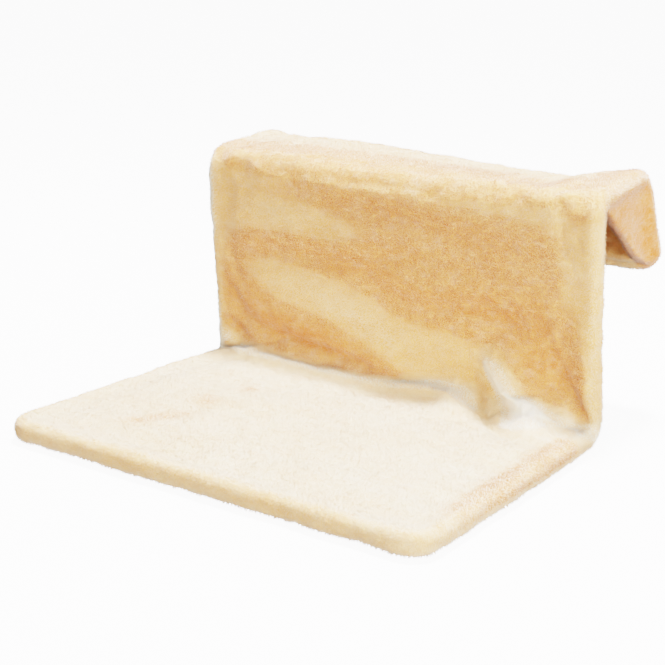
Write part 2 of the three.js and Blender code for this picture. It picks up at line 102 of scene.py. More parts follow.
def mid_surface(x, s, r_b, r_c, r_e, drop):
    """Points (y, z) of the bent middle surface and its normals towards the cat's side.
    The radii and the drop of the rear corner are given for each point."""
    n = len(x)
    knots = np.empty((n, 5, 2))
    knots[:, 0], knots[:, 1], knots[:, 2], knots[:, 4] = P_A, P_B, P_C, P_F
    knots[:, 3] = np.stack(up(T - 0.25 * drop, H - drop), 1)
    edge = np.diff(knots, axis=1)
    length = np.linalg.norm(edge, axis=2)
    d = edge / length[:, :, None]
    seg = np.clip(np.searchsorted(KNOT_S[1:4], s, side="right"), 0, 3)
    row = np.arange(n)
    share = (s - KNOT_S[seg]) / (KNOT_S[seg + 1] - KNOT_S[seg])
    run = share * length[row, seg]
    tangent = d[row, seg].copy()
    point = knots[row, seg] + tangent * run[:, None]
    radii = {1: r_b, 2: r_c, 3: r_e}
    for k in (1, 2, 3):
        a, b = d[:, k - 1], d[:, k]
        turn = np.arccos(np.clip((a * b).sum(1), -1, 1))
        sign = np.sign(a[:, 0] * b[:, 1] - a[:, 1] * b[:, 0])
        reach = radii[k] * np.tan(turn / 2)
        away = np.where(seg == k - 1, run - length[:, k - 1], np.where(seg == k, run, 1e9))
        inside = np.abs(away) < reach
        w = (away + reach) / (2 * reach) * turn * sign
        side = np.stack([-a[:, 1], a[:, 0]], 1) * sign[:, None]
        centre = knots[:, k] - a * reach[:, None] + side * radii[k][:, None]
        v = -side * radii[k][:, None]
        c, q = np.cos(w), np.sin(w)
        arc = np.stack([c * v[:, 0] - q * v[:, 1], q * v[:, 0] + c * v[:, 1]], 1) + centre
        tan = np.stack([c * a[:, 0] - q * a[:, 1], q * a[:, 0] + c * a[:, 1]], 1)
        point[inside] = arc[inside]
        tangent[inside] = tan[inside]
    normal = np.stack([-tangent[:, 1], tangent[:, 0]], 1)
    return point, normal


# -------------------------------------------------------------- smooth 3D noise
def lattice(seed):
    return np.random.default_rng(seed).uniform(-1, 1, (64, 64, 64))


LATTICE = lattice(11)


def value_noise(p, scale, seed=0):
    """Smooth noise in -1..1 at points p (n, 3) in mm; scale is its cell in mm."""
    q = p / scale + np.array([13.1, 7.7, 3.3]) * (seed + 1)
    i = np.floor(q).astype(int)
    f = q - i
    f = f * f * f * (f * (f * 6 - 15) + 10)
    out = np.zeros(len(p))
    for dx in (0, 1):
        for dy in (0, 1):
            for dz in (0, 1):
                w = (np.where(dx, f[:, 0], 1 - f[:, 0]) * np.where(dy, f[:, 1], 1 - f[:, 1])
                     * np.where(dz, f[:, 2], 1 - f[:, 2]))
                out += w * LATTICE[(i[:, 0] + dx) % 64, (i[:, 1] + dy) % 64, (i[:, 2] + dz) % 64]
    return out


# --------------------------------------------------------------- folds, in mm
def nearest_on(points, x, s):
    """For each point the distance to a line of points, the side it lies on, and the
    third number of the line's points there."""
    p = np.array(points, float)
    best = np.full(x.shape, 1e9)
    value, hand, place = np.zeros(x.shape), np.zeros(x.shape), np.zeros(x.shape)
    for i in range(len(p) - 1):
        a, ab = p[i, :2], p[i + 1, :2] - p[i, :2]
        t = np.clip(((x - a[0]) * ab[0] + (s - a[1]) * ab[1]) / (ab @ ab), 0, 1)
        dx, ds = x - a[0] - t * ab[0], s - a[1] - t * ab[1]
        d = np.hypot(dx, ds)
        near = d < best
        best = np.where(near, d, best)
        value = np.where(near, p[i, 2] + (p[i + 1, 2] - p[i, 2]) * t, value)
        hand = np.where(near, np.sign(ab[0] * ds - ab[1] * dx), hand)
        place = np.where(near, i + t, place)
    return best, hand, value


def fold(points, x, s, left, right=None):
    """A ridge, or a valley where its heights are negative, along a line of points
    (x, s, height). left and right are its widths on the two hands of the line."""
    d, hand, value = nearest_on(points, x, s)
    w = np.where(hand > 0, left, left if right is None else right)
    return value * np.exp(-(d / w) ** 2)


def crease(points, x, s, left, right):
    """A fold with a sharp bottom."""
    d, hand, value = nearest_on(points, x, s)
    w = np.where(hand > 0, left, right)
    return value * np.exp(-np.abs(d / w) ** 1.25)


def wave(points, x, s, width):
    """A slack band across the cover: hollow below its line, swollen above it."""
    p = np.array(points, float)
    at = np.interp(x, p[:, 0], p[:, 1])
    size = np.interp(x, p[:, 0], p[:, 2], left=0, right=0)
    t = (s - at) / width
    return size * 2.33 * t * np.exp(-t * t)


def bump(x, s, x0, s0, size, wx, ws):
    return size * np.exp(-((x - x0) / wx) ** 2 - ((s - s0) / ws) ** 2)


BANDS = [
    ([(-185, 512, 0), (-100, 508, 1.2), (-46, 500, 2.0), (18, 494, 2.4), (82, 483, 2.2), (148, 476, 1.4), (196, 470, 0)], 13),
    ([(-205, 432, 0), (-165, 434, 1.8), (-100, 442, 2.2), (-50, 440, 2.4), (8, 452, 1.4), (60, 452, 0)], 12),
    ([(-80, 440, 0), (-30, 430, 1.6), (10, 414, 2.4), (42, 408, 2.4), (80, 416, 2.2), (142, 414, 2.2), (190, 404, 0)], 13),
    ([(-204, 396, 0), (-186, 372, 2.0), (-160, 354, 2.8), (-110, 345, 3.0), (-60, 336, 2.6), (10, 318, 1.6), (70, 312, 0)], 14),
    ([(-150, 470, 0), (-100, 474, 1.0), (-20, 466, 1.2), (60, 456, 1.3), (140, 448, 1.2), (190, 444, 0)], 10),
]


VALLEY = [(90, 348, 0), (98, 320, -5), (110, 292, -9), (127, 262, -9.5), (146, 240, -7.5), (170, 225, -4), (190, 214, 0)]
RIDGE = [(108, 374, 0), (115, 364, 7), (125, 349, 13), (138, 324, 17), (152, 296, 18), (166, 264, 12), (180, 236, 6), (192, 216, 0)]
CREASE = [(160, 440, 0), (167, 420, -0.6), (174, 402, -1.3), (180, 384, -2.3), (188, 365, -3.8), (197, 347, -5.2),
          (204, 335, -4.8), (211, 325, -3.2), (216, 314, -1.2)]


def seat_folds(x, s):
    """Rise of the cat's side over its smooth shape."""
    out = np.zeros(x.shape)
    for line, width in BANDS:
        out += wave(line, x, s, width)
    # the fold at the right end of the cove: a valley and the ridge beside it
    out += fold(VALLEY, x, s, 9, 12)
    out += fold(RIDGE, x, s, 30, 11)
    # the cove: slack lies low in its middle and humps up on either side
    out += bump(x, s, 16, 262, -6.0, 42, 24)
    out += fold([(24, 292, 3), (50, 292, 7), (70, 286, 9), (82, 270, 9), (92, 250, 6), (104, 230, 0)], x, s, 15, 16)
    out += fold([(-196, 276, 6), (-176, 284, 8), (-150, 284, 6), (-110, 281, 5.5), (-60, 280, 5), (-20, 282, 3.5), (20, 288, 2)], x, s, 15, 17)
    # the bed, slack over its wadding
    out += bump(x, s, -60, 150, 1.6, 70, 50) + bump(x, s, 90, 120, 1.8, 60, 60)
    out += fold([(-200, 130, 0), (-120, 118, -1.3), (-40, 128, -1.0), (20, 150, 0)], x, s, 16)
    out += fold([(-10, 60, 0), (60, 70, -1.2), (140, 100, -1.2), (190, 150, 0)], x, s, 15)
    out += fold([(-170, 210, 0), (-130, 196, -1.4), (-90, 200, -1.2), (-50, 214, 0)], x, s, 13)
    return out


def seat_creases(x, s):
    """Sharper folds, which also cut into the rolls."""
    out = crease(CREASE, x, s, 4, 9)
    out += fold([(204, 430, 0), (207, 396, 1.4), (210, 364, 2.6), (214, 340, 2.4), (218, 322, 0)], x, s, 8)
    # the end of the left roll: pinched in, then a knob over the bed's corner
    out += crease([(-227, 344, -1.0), (-212, 347, -2.6), (-198, 344, -3.4), (-186, 336, -3.4), (-177, 322, -2.4), (-172, 306, -1.0)], x, s, 5, 5)
    out += bump(x, s, -203, 322, 6.0, 13, 11)
    out += bump(x, s, -166, 300, 4.0, 12, 10) + bump(x, s, -186, 286, 3.0, 10, 8)
    out += crease([(-222, 300, -0.5), (-208, 297, -1.6), (-196, 296, -2.6), (-184, 300, -2.6), (-176, 308, -1.4)], x, s, 5, 5)
    return out


# Tone strokes, (x, s, strength), width: a deeper tan above 0, paler below 0. Partly the nap lying open
# or standing up, partly painted shade in hollows and bends and painted light where the cloth meets the light.
NAP_AND_SHADE = [
    # painted shade along the slack bands of the back
    ([(-170, 506, 0), (-100, 500, 0.12), (-46, 495, 0.30), (0, 490, 0.38), (40, 489, 0.50), (80, 486, 0.45), (130, 480, 0.38),
      (164, 474, 0.3), (192, 470, 0)], 14),
    ([(50, 474, 0), (110, 454, 0.40), (160, 440, 0.42), (190, 430, 0)], 22),
    ([(-204, 426, 0), (-172, 436, 0.25), (-132, 441, 0.32), (-88, 436, 0.42), (-66, 432, 0.55), (-44, 433, 0.50),
      (-18, 440, 0.42), (10, 447, 0.36), (54, 456, 0)], 13),
    ([(-70, 440, 0), (-40, 431, 0.12), (-18, 423, 0.35), (4, 417, 0.55), (42, 410, 0.60), (72, 414, 0.55), (142, 410, 0.55),
      (160, 406, 0.45), (180, 394, 0.30), (192, 378, 0)], 18),
    ([(-208, 414, 0.1), (-200, 400, 0.15), (-190, 382, 0.45), (-172, 362, 0.80), (-138, 348, 1.15), (-108, 342, 1.2),
      (-80, 338, 1.05), (-50, 330, 0.80), (-16, 320, 0.45), (20, 312, 0.15), (60, 306, 0)], 19),
    ([(60, 416, 0), (110, 400, 0.30), (148, 381, 0.55), (170, 364, 0.80), (188, 349, 0.70), (204, 331, 0.2)], 25),
    # the places that stand out of the slack, paler as painted light
    ([(-172, 404, 0), (-132, 398, -0.26), (-88, 392, -0.40), (-50, 383, -0.52), (-22, 372, -0.54), (0, 360, -0.44),
      (12, 350, -0.28), (34, 338, -0.26), (60, 332, -0.2), (90, 330, 0)], 19),
    ([(14, 372, 0), (30, 368, -0.18), (66, 366, -0.14), (100, 366, -0.12), (112, 366, 0)], 11),
    ([(-206, 480, 0), (-176, 474, -0.16), (-120, 469, -0.26), (-66, 464, -0.14), (-30, 466, 0)], 14),
    # the upper edge: painted shade on the bend where it turns from the light, paler painted light just below it
    ([(-214, 531, 0.5), (-190, 531, 0.85), (0, 531, 0.88), (120, 531, 0.8), (190, 531, 0.7), (214, 528, 0.4)], 16),
    ([(-206, 511, -0.3), (-60, 511, -0.3), (0, 511, -0.35), (80, 511, -0.35), (180, 511, -0.3), (206, 509, 0.0)], 10),
    # the rolls at the ends: paler as painted highlight down the rolls of the back, deeper as painted shade at the right
    # end of the top and hook and along the bed's right edge
    ([(-219, 516, -1.0), (-219, 450, -0.85), (-219, 410, -0.2), (-219, 370, -0.7), (-219, 300, -0.9)], 8),
    ([(219, 512, -0.2), (219, 440, -0.35), (219, 370, -0.35), (219, 330, -0.5), (219, 290, -0.9), (216, 262, -0.4)], 8),
    ([(208, 548, 0.4), (212, 590, 1.1), (214, 640, 1.1), (214, 700, 0.6)], 12),
    ([(212, 20, 0), (216, 90, 0.22), (217, 180, 0.30), (218, 236, 0.36), (216, 262, 0)], 9),
    # the foot of the back, the knob and the ridge, which turn up to the light
    ([(-206, 292, -0.7), (-176, 288, -1.0), (-120, 282, -0.7), (-60, 280, -0.7), (-20, 285, -0.8), (20, 297, -1.2),
      (50, 303, -1.5), (80, 301, -1.5), (96, 284, -1.1)], 14),
    ([(-210, 304, -0.7), (-190, 300, -0.8), (-174, 288, -0.7)], 12),
    ([(-214, 326, -0.5), (-204, 328, -0.8), (-196, 324, -0.5)], 6),
    ([(104, 376, 0), (114, 362, -0.8), (125, 346, -1.7), (140, 318, -2.1), (154, 293, -1.8), (168, 262, -1.5), (186, 226, 0)], 17),
    ([(150, 262, -0.5), (168, 294, -1.2), (186, 286, -1.3), (204, 292, -0.9)], 19),
    # flattened places on the bed
    ([(-130, 150, 0), (-118, 144, 0.09), (-104, 136, 0.10), (-88, 122, 0)], 12),
    ([(-104, 104, 0), (-102, 94, 0.1), (-112, 72, 0.1), (-124, 49, 0.08), (-128, 38, 0)], 12),
    ([(-112, 194, 0), (-98, 188, 0.12), (-80, 184, 0)], 10),
]


def nap_and_shade_tone(x, s, side):
    out = np.zeros(x.shape)
    for line, width in NAP_AND_SHADE:
        deep_shade = max(v for _, _, v in line) > 0.3
        out += fold(line, x, s, width * (1.3 if deep_shade else 1.0))
    out = np.where(out > 0, 0.74 * np.minimum(out, 0.6) + 1.0 * np.maximum(out - 0.6, 0),
                   0.14 * np.maximum(out, -0.6) + 1.25 * np.minimum(out + 0.6, 0))
    # painted shade in the crease beside the cove and in the pinch above the knob
    out += crease([(a, b, 0.20 * min(1.0, -c / 3)) for a, b, c in CREASE], x, s, 3, 6)
    out += crease([(-212, 347, 0.3), (-198, 344, 0.6), (-186, 336, 0.7), (-177, 322, 0.4)], x, s, 4, 4)
    # the radiator side: a little deeper past the upper bend, painted shade far inside the hook's ends, paler near the
    # hem as painted light
    inner = (0.05 * smooth(S_C, S_C + 20, s) + 1.15 * smooth(S_C + 10, S_C + 40, s) * smooth(200, 212, np.abs(x))
             - 0.1 * smooth(S_F - 34, S_F - 10, s))
    return np.where(np.asarray(side) < 0.5, np.clip(out, -1.7, 1.3), inner)


RC = 26.0
RING_E = [0, 0.22, 0.86, 1.9, 3.2, 4.6, 6.2, 8.0, 10.0, 12.4, 15.2, 18.6, 22.2]


def graded(a, b, count, density):
    """count + 1 places from a to b, closer together where density is high."""
    u = np.linspace(a, b, 2001)
    w = np.concatenate([[0], np.cumsum((density(u[1:]) + density(u[:-1])) / 2)])
    return np.interp(np.linspace(0, w[-1], count + 1), w, u)


NX, NS = 64, 116
X0, X1 = -HALF_W + RC, HALF_W - RC
S0, S1 = -EDGE + RC, S_F + EDGE - RC
FAN = 5
GRID_X = graded(X0, X1, NX, lambda u: 1 + 0.9 * smooth(80, 120, u) + 0.25 * smooth(-150, -180, u))
GRID_S = graded(S0, S1, NS, lambda u: 1 + 0.8 * smooth(205, 250, u) * (1 - smooth(400, 440, u))
                + 0.5 * smooth(500, 520, u) + 5.0 * np.exp(-((u - S_C) / 7) ** 2))


def build_net():
    inner = np.array([(x, s) for s in GRID_S for x in GRID_X])
    edge = ([j for j in range(NX)] + [NX + (NX + 1) * i for i in range(NS)]
            + [NX - j + (NX + 1) * NS for j in range(NX)] + [(NX + 1) * (NS - i) for i in range(NS)])
    corner = {0: 0, NX: 1, NX + NS: 2, 2 * NX + NS: 3}
    outward = [(0, -1), (1, 0), (0, 1), (-1, 0)]
    slots = []
    for i, v in enumerate(edge):
        if i in corner:
            c = corner[i]
            a = math.atan2(outward[c - 1][1], outward[c - 1][0])
            for k in range(FAN + 1):
                w = a + (math.pi / 2) * k / FAN
                slots.append((v, math.cos(w), math.sin(w)))
        else:
            side = 0 if i < NX else 1 if i < NX + NS else 2 if i < 2 * NX + NS else 3
            slots.append((v, *outward[side]))
    base = np.array([s[0] for s in slots])
    d = np.array([[s[1], s[2]] for s in slots])
    xs, es = [], []
    rings = {}
    count = 0
    for k, e in enumerate(RING_E):
        p = inner[base] + d * (RC - e)
        for side in ((0,) if k == 0 else (0, 1)):
            rings[k, side] = np.arange(count, count + len(slots))
            if k == 0:
                rings[k, 1] = rings[k, 0]
            xs.append(np.column_stack([p, np.full(len(slots), side)]))
            es.append(np.full(len(slots), float(e)))
            count += len(slots)
    grid = {}
    ie = np.minimum(HALF_W - np.abs(inner[:, 0]),
                    np.minimum(inner[:, 1] + EDGE, S_F + EDGE - inner[:, 1]))
    for side in (0, 1):
        grid[side] = np.arange(count, count + len(inner))
        xs.append(np.column_stack([inner, np.full(len(inner), side)]))
        es.append(ie)
        count += len(inner)
    xs, es = np.vstack(xs), np.concatenate(es)
    faces = []
    n = len(slots)

    def add(f, side):
        f = [int(v) for i, v in enumerate(f) if v != f[i - 1]]
        if len(f) > 2:
            faces.append(f if side == 0 else f[::-1])

    for side in (0, 1):
        for k in range(len(RING_E)):
            outer = rings[k, side]
            nxt = rings[k + 1, side] if k + 1 < len(RING_E) else grid[side][base]
            for i in range(n):
                j = (i + 1) % n
                add((outer[i], outer[j], nxt[j], nxt[i]), side)
        g = grid[side]
        for i in range(NS):
            for j in range(NX):
                a = g[i * (NX + 1) + j]
                add((a, a + 1, a + NX + 2, a + NX + 1), side)
    return xs[:, 0], xs[:, 1], xs[:, 2], es, faces


NET_X, NET_S, NET_SIDE, NET_E, NET_FACES = build_net()


def soft_max(a, b, k):
    h = np.clip(0.5 + 0.5 * (a - b) / k, 0, 1)
    return b + (a - b) * h + k * h * (1 - h)


# The edge of the hook's inner layer, from under the upper bend to the hem, in the
# back's own axes (y, z).
WEB_LINE = np.array([(21, 211), (38, 199), (52, 186), (68, 173), (84, 158), (103, 142.5), (121, 130)], float)


def paths(x, s, side):
    seat = side < 0.5
    b_mid = np.where(x > 0, smooth(209, 188, np.abs(x)), smooth(207, 172, np.abs(x)))
    r_b = 16 + np.where(seat, b_mid * (table(x, [
        (-225, 34), (-138, 38), (-94, 38), (-50, 36), (-16, 30), (16, 28), (40, 30), (76, 34), (104, 34), (130, 34), (225, 34)]) - 16), 0)
    r_c = 17 - np.where(seat, 14 * smooth(209, 188, np.abs(x)), 0)
    r_e = table(x, [(-225, 17), (-206, 17), (-184, 34), (-134, 37), (-58, 42), (13, 44), (58, 45), (103, 46),
                    (125, 46), (148, 43), (172, 36), (186, 30), (206, 17), (225, 17)])
    drop = table(x, [(-225, 0), (-134, 0), (-58, 2), (13, 6), (58, 9), (103, 12), (125, 12), (148, 10.5), (172, 6.5),
                     (186, 3), (206, 0), (225, 0)])
    # the radiator side layer hangs less than the outer one
    r_e = np.where(seat, r_e, 17 + 0.45 * (r_e - 17))
    drop = np.where(seat, drop, 0.0)
    return mid_surface(x, s, r_b, r_c, r_e, drop)


def shape_cover():
    x, s, side, e = NET_X, NET_S, NET_SIDE, NET_E
    point, normal = paths(x, s, side)

    # The backing cloth is drawn round the tube, whose axis is EDGE from the outline.
    a = e / EDGE
    bed = 1 - smooth(S_B - 70, S_B - 20, s)
    square = 2.0 + 0.9 * bed
    roll = R_ROLL * np.where(e < EDGE, np.maximum(0, 1 - np.abs(1 - a) ** square) ** (1 / square), 1.0)
    panel = 8.6 - 0.2 * bed
    long = 12 + 14 * smooth(330, 380, s) * (1 - smooth(512, 524, s))
    seat = roll + (panel - R_ROLL) * smooth(0, 1, (e - EDGE) / long)
    seat = seat + seat_folds(x, s) * smooth(8, 22, e) + seat_creases(x, s) * smooth(1.5, 9, e)
    back = roll + (9.8 - R_ROLL) * smooth(EDGE, EDGE + 12, e)
    h = np.where(side == 0, seat, -back)
    # the outline itself lies PILE inside the half width
    inward = PILE * (1 - smooth(0, EDGE, e))
    sx, ss = np.zeros(x.shape), np.zeros(x.shape)
    sx = np.where(np.abs(x) > X1, np.sign(x) * np.minimum(1, (np.abs(x) - X1) / (RC - e + 1e-6)), 0)
    low, high = s < S0, s > S1
    ss = np.where(low, -np.minimum(1, (S0 - s) / (RC - e + 1e-6)), np.where(high, np.minimum(1, (s - S1) / (RC - e + 1e-6)), 0))
    point, normal = paths(x - sx * inward, s - ss * inward, side)
    yz = point + normal * h[:, None]

    # The radiator side layer of the hook, at each end: a welt that runs straight
    # from under the upper bend to the hem.
    s_a, s_b = S_C + 20.0, S_F - 4.0
    t = np.clip((s - s_a) / (s_b - s_a), 0, 1)
    line = np.stack(up(WEB_LINE[:, 0], WEB_LINE[:, 1]), 1)
    ends = []
    for sv in (s_a, s_b):
        p, n = paths(np.array([AXIS_X]), np.array([sv]), np.array([1.0]))
        ends.append((p - n * R_ROLL)[0])
    line[0], line[-1] = ends
    cum = np.concatenate([[0], np.cumsum(np.linalg.norm(np.diff(line, axis=0), axis=1))])
    cum /= cum[-1]
    web = np.stack([np.interp(t, cum, line[:, 0]), np.interp(t, cum, line[:, 1])], 1)
    w = smooth(3.4, 11.0, e) * (1 - smooth(20, 33, e)) * ((side == 1) & (s > s_a) & (s < s_b))
    yz = yz * (1 - w[:, None]) + web * w[:, None]
    face = w * (e < 14)
    dish = np.where(face > 0, (-2.6 * np.sin(math.pi * np.clip(face, 0, 1)) * (0.75 + 0.5 * np.sin(t * 9.0 + 0.6))
                               + 1.0 * smooth(0.75, 1.0, face)) * smooth(0.02, 0.18, t) * (1 - smooth(0.8, 0.98, t)), 0)
    x = x + np.sign(x) * dish
    return np.column_stack([x - sx * inward, yz]), normal


def mesh_object(name, co, faces, scale=0.001):
    me = bpy.data.meshes.new(name)
    me.from_pydata([tuple(c) for c in (np.asarray(co) * scale)], [], faces)
    me.validate()
    me.update()
    ob = bpy.data.objects.new(name, me)
    bpy.context.scene.collection.objects.link(ob)
    return ob


def get_co(me):
    co = np.empty(len(me.vertices) * 3)
    me.vertices.foreach_get("co", co)
    return co.reshape(-1, 3)


def set_co(me, co):
    me.vertices.foreach_set("co", np.asarray(co, float).ravel())
    me.update()


def get_normals(me):
    n = np.empty(len(me.vertices) * 3)
    me.vertices.foreach_get("normal", n)
    return n.reshape(-1, 3)


def apply_modifiers(ob):
    deps = bpy.context.evaluated_depsgraph_get()
    deps.update()
    done = bpy.data.meshes.new_from_object(ob.evaluated_get(deps))
    ob.modifiers.clear()
    old = ob.data
    ob.data = done
    bpy.data.meshes.remove(old)
    return ob


cover_co, cover_normal = shape_cover()
cover = mesh_object("plush_cover", cover_co, NET_FACES)

# Irregular roll, before the cloth settles.
co = get_co(cover.data) * 1000
nn = get_normals(cover.data)
lump = 0.8 * value_noise(co, 34, 1) + 0.45 * value_noise(co, 15, 2)
co += nn * lump[:, None]
set_co(cover.data, co / 1000)

# The panels settle as cloth between the rolls, with a little slack.
group = cover.vertex_groups.new(name="held")
hold = 1 - smooth(13, 48, NET_E)
for i, w in enumerate(hold):
    group.add([i], float(max(0.02, w)), "REPLACE")
start = get_co(cover.data)
cloth = cover.modifiers.new("cloth", "CLOTH")
st = cloth.settings
st.quality = 6
st.mass = 0.2
st.tension_stiffness = 18
st.compression_stiffness = 18
st.shear_stiffness = 6
st.bending_stiffness = 0.35
st.vertex_group_mass = "held"
st.pin_stiffness = 1.0
st.use_pressure = True
st.uniform_pressure_force = 1.2
st.shrink_min = -0.015
st.effector_weights.gravity = 0
cloth.collision_settings.use_self_collision = False
cloth.collision_settings.use_collision = False
cloth.point_cache.frame_start = 1
cloth.point_cache.frame_end = 16
scene = bpy.context.scene
for f in range(1, 17):
    scene.frame_set(f)
apply_modifiers(cover)
scene.frame_set(1)
end = get_co(cover.data)
move = end - start
size = np.linalg.norm(move, axis=1)
print("cloth moved mm: mean %.2f max %.2f" % (size.mean() * 1000, size.max() * 1000))
cap = 0.0024
move[:, 2] *= np.where((NET_SIDE > 0.5) & (NET_S < S_B), 0.25, 1.0)
keep = np.where(size > 0, cap * np.tanh(size / cap) / np.maximum(size, 1e-9), 0)
set_co(cover.data, start + move * keep[:, None])
cover.vertex_groups.clear()

for label, data in (("fx", NET_X), ("fs", NET_S), ("fside", NET_SIDE), ("fe", NET_E)):
    att = cover.data.attributes.new(label, "FLOAT", "POINT")
    att.data.foreach_set("value", data.astype(np.float32))

sub = cover.modifiers.new("round", "SUBSURF")
sub.levels = sub.render_levels = 1
apply_modifiers(cover)

# Pile clumps, too small for the cloth.
co = get_co(cover.data) * 1000
nn = get_normals(cover.data)
clump = (0.45 * value_noise(co, 9.0, 3) + 0.35 * value_noise(co, 5.0, 4)
         + 0.30 * value_noise(co * np.array([1, 1, 0.6]), 3.2, 5))
set_co(cover.data, (co + nn * clump[:, None]) / 1000)
cover.data.polygons.foreach_set("use_smooth", [True] * len(cover.data.polygons))


# ------------------------------------------------------------------- the pile
def get_attribute(me, label):
    out = np.empty(len(me.vertices), np.float32)
    me.attributes[label].data.foreach_get("value", out)
    return out.astype(float)


SKIN = get_co(cover.data) * 1000
SKIN_N = get_normals(cover.data)
SKIN_X, SKIN_S = get_attribute(cover.data, "fx"), get_attribute(cover.data, "fs")
SKIN_SIDE, SKIN_E = get_attribute(cover.data, "fside"), get_attribute(cover.data, "fe")
SKIN_NAP_AND_SHADE = nap_and_shade_tone(SKIN_X, SKIN_S, SKIN_SIDE)
# Painted shade: the weight of a deeper, more saturated copy of the colour on the back wall above the cove, on the outer
# edges of the rolls and on the radiator side, where the overhead light falls little.
SKIN_WALL_SHADE = np.maximum(smooth(0, 1, (SKIN_S - table(SKIN_X, [
    (-225, 290), (-190, 296), (-150, 284), (-20, 286), (20, 298), (50, 306), (95, 306), (108, 290), (225, 292)])) / 34), np.maximum(0.7 * smooth(11, 3, SKIN_E), 0.7 * (SKIN_SIDE > 0.5)))
# painted highlight: the lit ridge and the lit top behind the upper bend are kept out of the painted shade
SKIN_RIDGE_HIGHLIGHT = fold([(112, 362, 0.4), (124, 345, 1.0), (139, 320, 1.0), (153, 293, 1.0), (166, 262, 1.0)], SKIN_X, SKIN_S, 24, 14)
SKIN_WALL_SHADE = np.where(SKIN_SIDE < 0.5, SKIN_WALL_SHADE * (1 - SKIN_RIDGE_HIGHLIGHT) * (1 - 0.85 * smooth(550, 572, SKIN_S)), SKIN_WALL_SHADE)
# nap holds the tone strokes with their painted shade and light; back holds the weight of the painted shade
for label, data in (("nap", SKIN_NAP_AND_SHADE), ("back", SKIN_WALL_SHADE)):
    att = cover.data.attributes.new(label, "FLOAT", "POINT")
    att.data.foreach_set("value", data.astype(np.float32))
cover.data.calc_loop_triangles()
SKIN_T = np.empty(len(cover.data.loop_triangles) * 3, int)
cover.data.loop_triangles.foreach_get("vertices", SKIN_T)
SKIN_T = SKIN_T.reshape(-1, 3)
SKIN_AREA = np.linalg.norm(np.cross(SKIN[SKIN_T[:, 1]] - SKIN[SKIN_T[:, 0]],
                                    SKIN[SKIN_T[:, 2]] - SKIN[SKIN_T[:, 0]]), axis=1) / 2
T_S = SKIN_S[SKIN_T].mean(1)
T_SIDE = SKIN_SIDE[SKIN_T].mean(1)


def unit(v):
    return v / np.maximum(np.linalg.norm(v, axis=1), 1e-9)[:, None]


def pile_piece(name, pick, per_mm2, seed):
    """Tufts of pile on the picked triangles: slender closed spikes rooted in the cloth."""
    r = np.random.default_rng(seed)
    tri = SKIN_T[pick]
    cum = np.cumsum(SKIN_AREA[pick])
    count = int(min(49900, cum[-1] * per_mm2))
    t = np.searchsorted(cum, (np.arange(count) + r.random(count)) / count * cum[-1])
    t = np.minimum(t, len(tri) - 1)
    a, b = r.random(count), r.random(count)
    flip = a + b > 1
    a[flip], b[flip] = 1 - a[flip], 1 - b[flip]
    w = np.stack([1 - a - b, a, b], 1)
    v = tri[t]

    def mean(values):
        return (values[v] * (w[:, :, None] if values.ndim == 2 else w)).sum(1)

    p, n = mean(SKIN), unit(mean(SKIN_N))
    fx, fs, fe = mean(SKIN_X), mean(SKIN_S), mean(SKIN_E)
    # the nap: down the back and towards the front, with swirls
    nap = np.stack([0.35 * value_noise(p, 42, 21), -0.55 + 0 * a, -0.35 + 0.35 * value_noise(p, 30, 22)], 1)
    nap -= n * (nap * n).sum(1)[:, None]
    jitter = r.normal(0, 1, (count, 3))
    d = unit(n + 0.50 * nap + 0.34 * jitter)
    clump = value_noise(p, 5.5, 23)
    length = (PILE + 0.9) * (0.80 + 0.35 * r.random(count) + 0.22 * clump)
    wide = 0.34 + 0.22 * r.random(count)
    root = p - n * 0.6
    u = unit(np.cross(d, r.normal(0, 1, (count, 3))))
    k = np.cross(d, u)
    co = np.empty((count, 4, 3))
    normal = np.empty((count, 4, 3))
    for i in range(3):
        w = 2 * math.pi * i / 3
        out = u * math.cos(w) + k * math.sin(w)
        co[:, i] = root + out * wide[:, None]
        normal[:, i] = unit(n + 0.7 * out)
    co[:, 3] = root + d * length[:, None]
    normal[:, 3] = unit(n + 0.4 * d)
    first = np.arange(count)[:, None] * 4
    tris = np.concatenate([first + [0, 1, 3], first + [1, 2, 3], first + [2, 0, 3], first + [2, 1, 0]], 1).reshape(-1, 3)
    me = bpy.data.meshes.new(name)
    me.vertices.add(count * 4)
    me.vertices.foreach_set("co", (co / 1000).ravel())
    me.loops.add(len(tris) * 3)
    me.loops.foreach_set("vertex_index", tris.ravel().astype(np.int32))
    me.polygons.add(len(tris))
    me.polygons.foreach_set("loop_start", (np.arange(len(tris)) * 3).astype(np.int32))
    me.polygons.foreach_set("loop_total", np.full(len(tris), 3, np.int32))
    me.polygons.foreach_set("use_smooth", np.ones(len(tris), bool))
    me.update(calc_edges=True)
    me.normals_split_custom_set_from_vertices(normal.reshape(-1, 3))
    cols = int(math.ceil(math.sqrt(count)))
    cell = np.stack([np.arange(count) % cols, np.arange(count) // cols], 1) / cols
    corner = cell[:, None, :] + np.array([(0.1, 0.1), (0.9, 0.1), (0.5, 0.45), (0.5, 0.9)])[None] / cols
    me.uv_layers.new(name="OFBake").data.foreach_set("uv", corner.reshape(-1, 2)[tris.ravel()].astype(np.float32).ravel())
    tip = me.attributes.new("tip", "FLOAT", "POINT")
    tip.data.foreach_set("value", np.tile(np.array([0, 0, 0, 1], np.float32), count))
    for label, data in (("nap", SKIN_NAP_AND_SHADE), ("back", SKIN_WALL_SHADE)):
        att = me.attributes.new(label, "FLOAT", "POINT")
        att.data.foreach_set("value", np.repeat(mean(data), 4).astype(np.float32))
    ob = bpy.data.objects.new(name, me)
    bpy.context.scene.collection.objects.link(ob)
    return ob


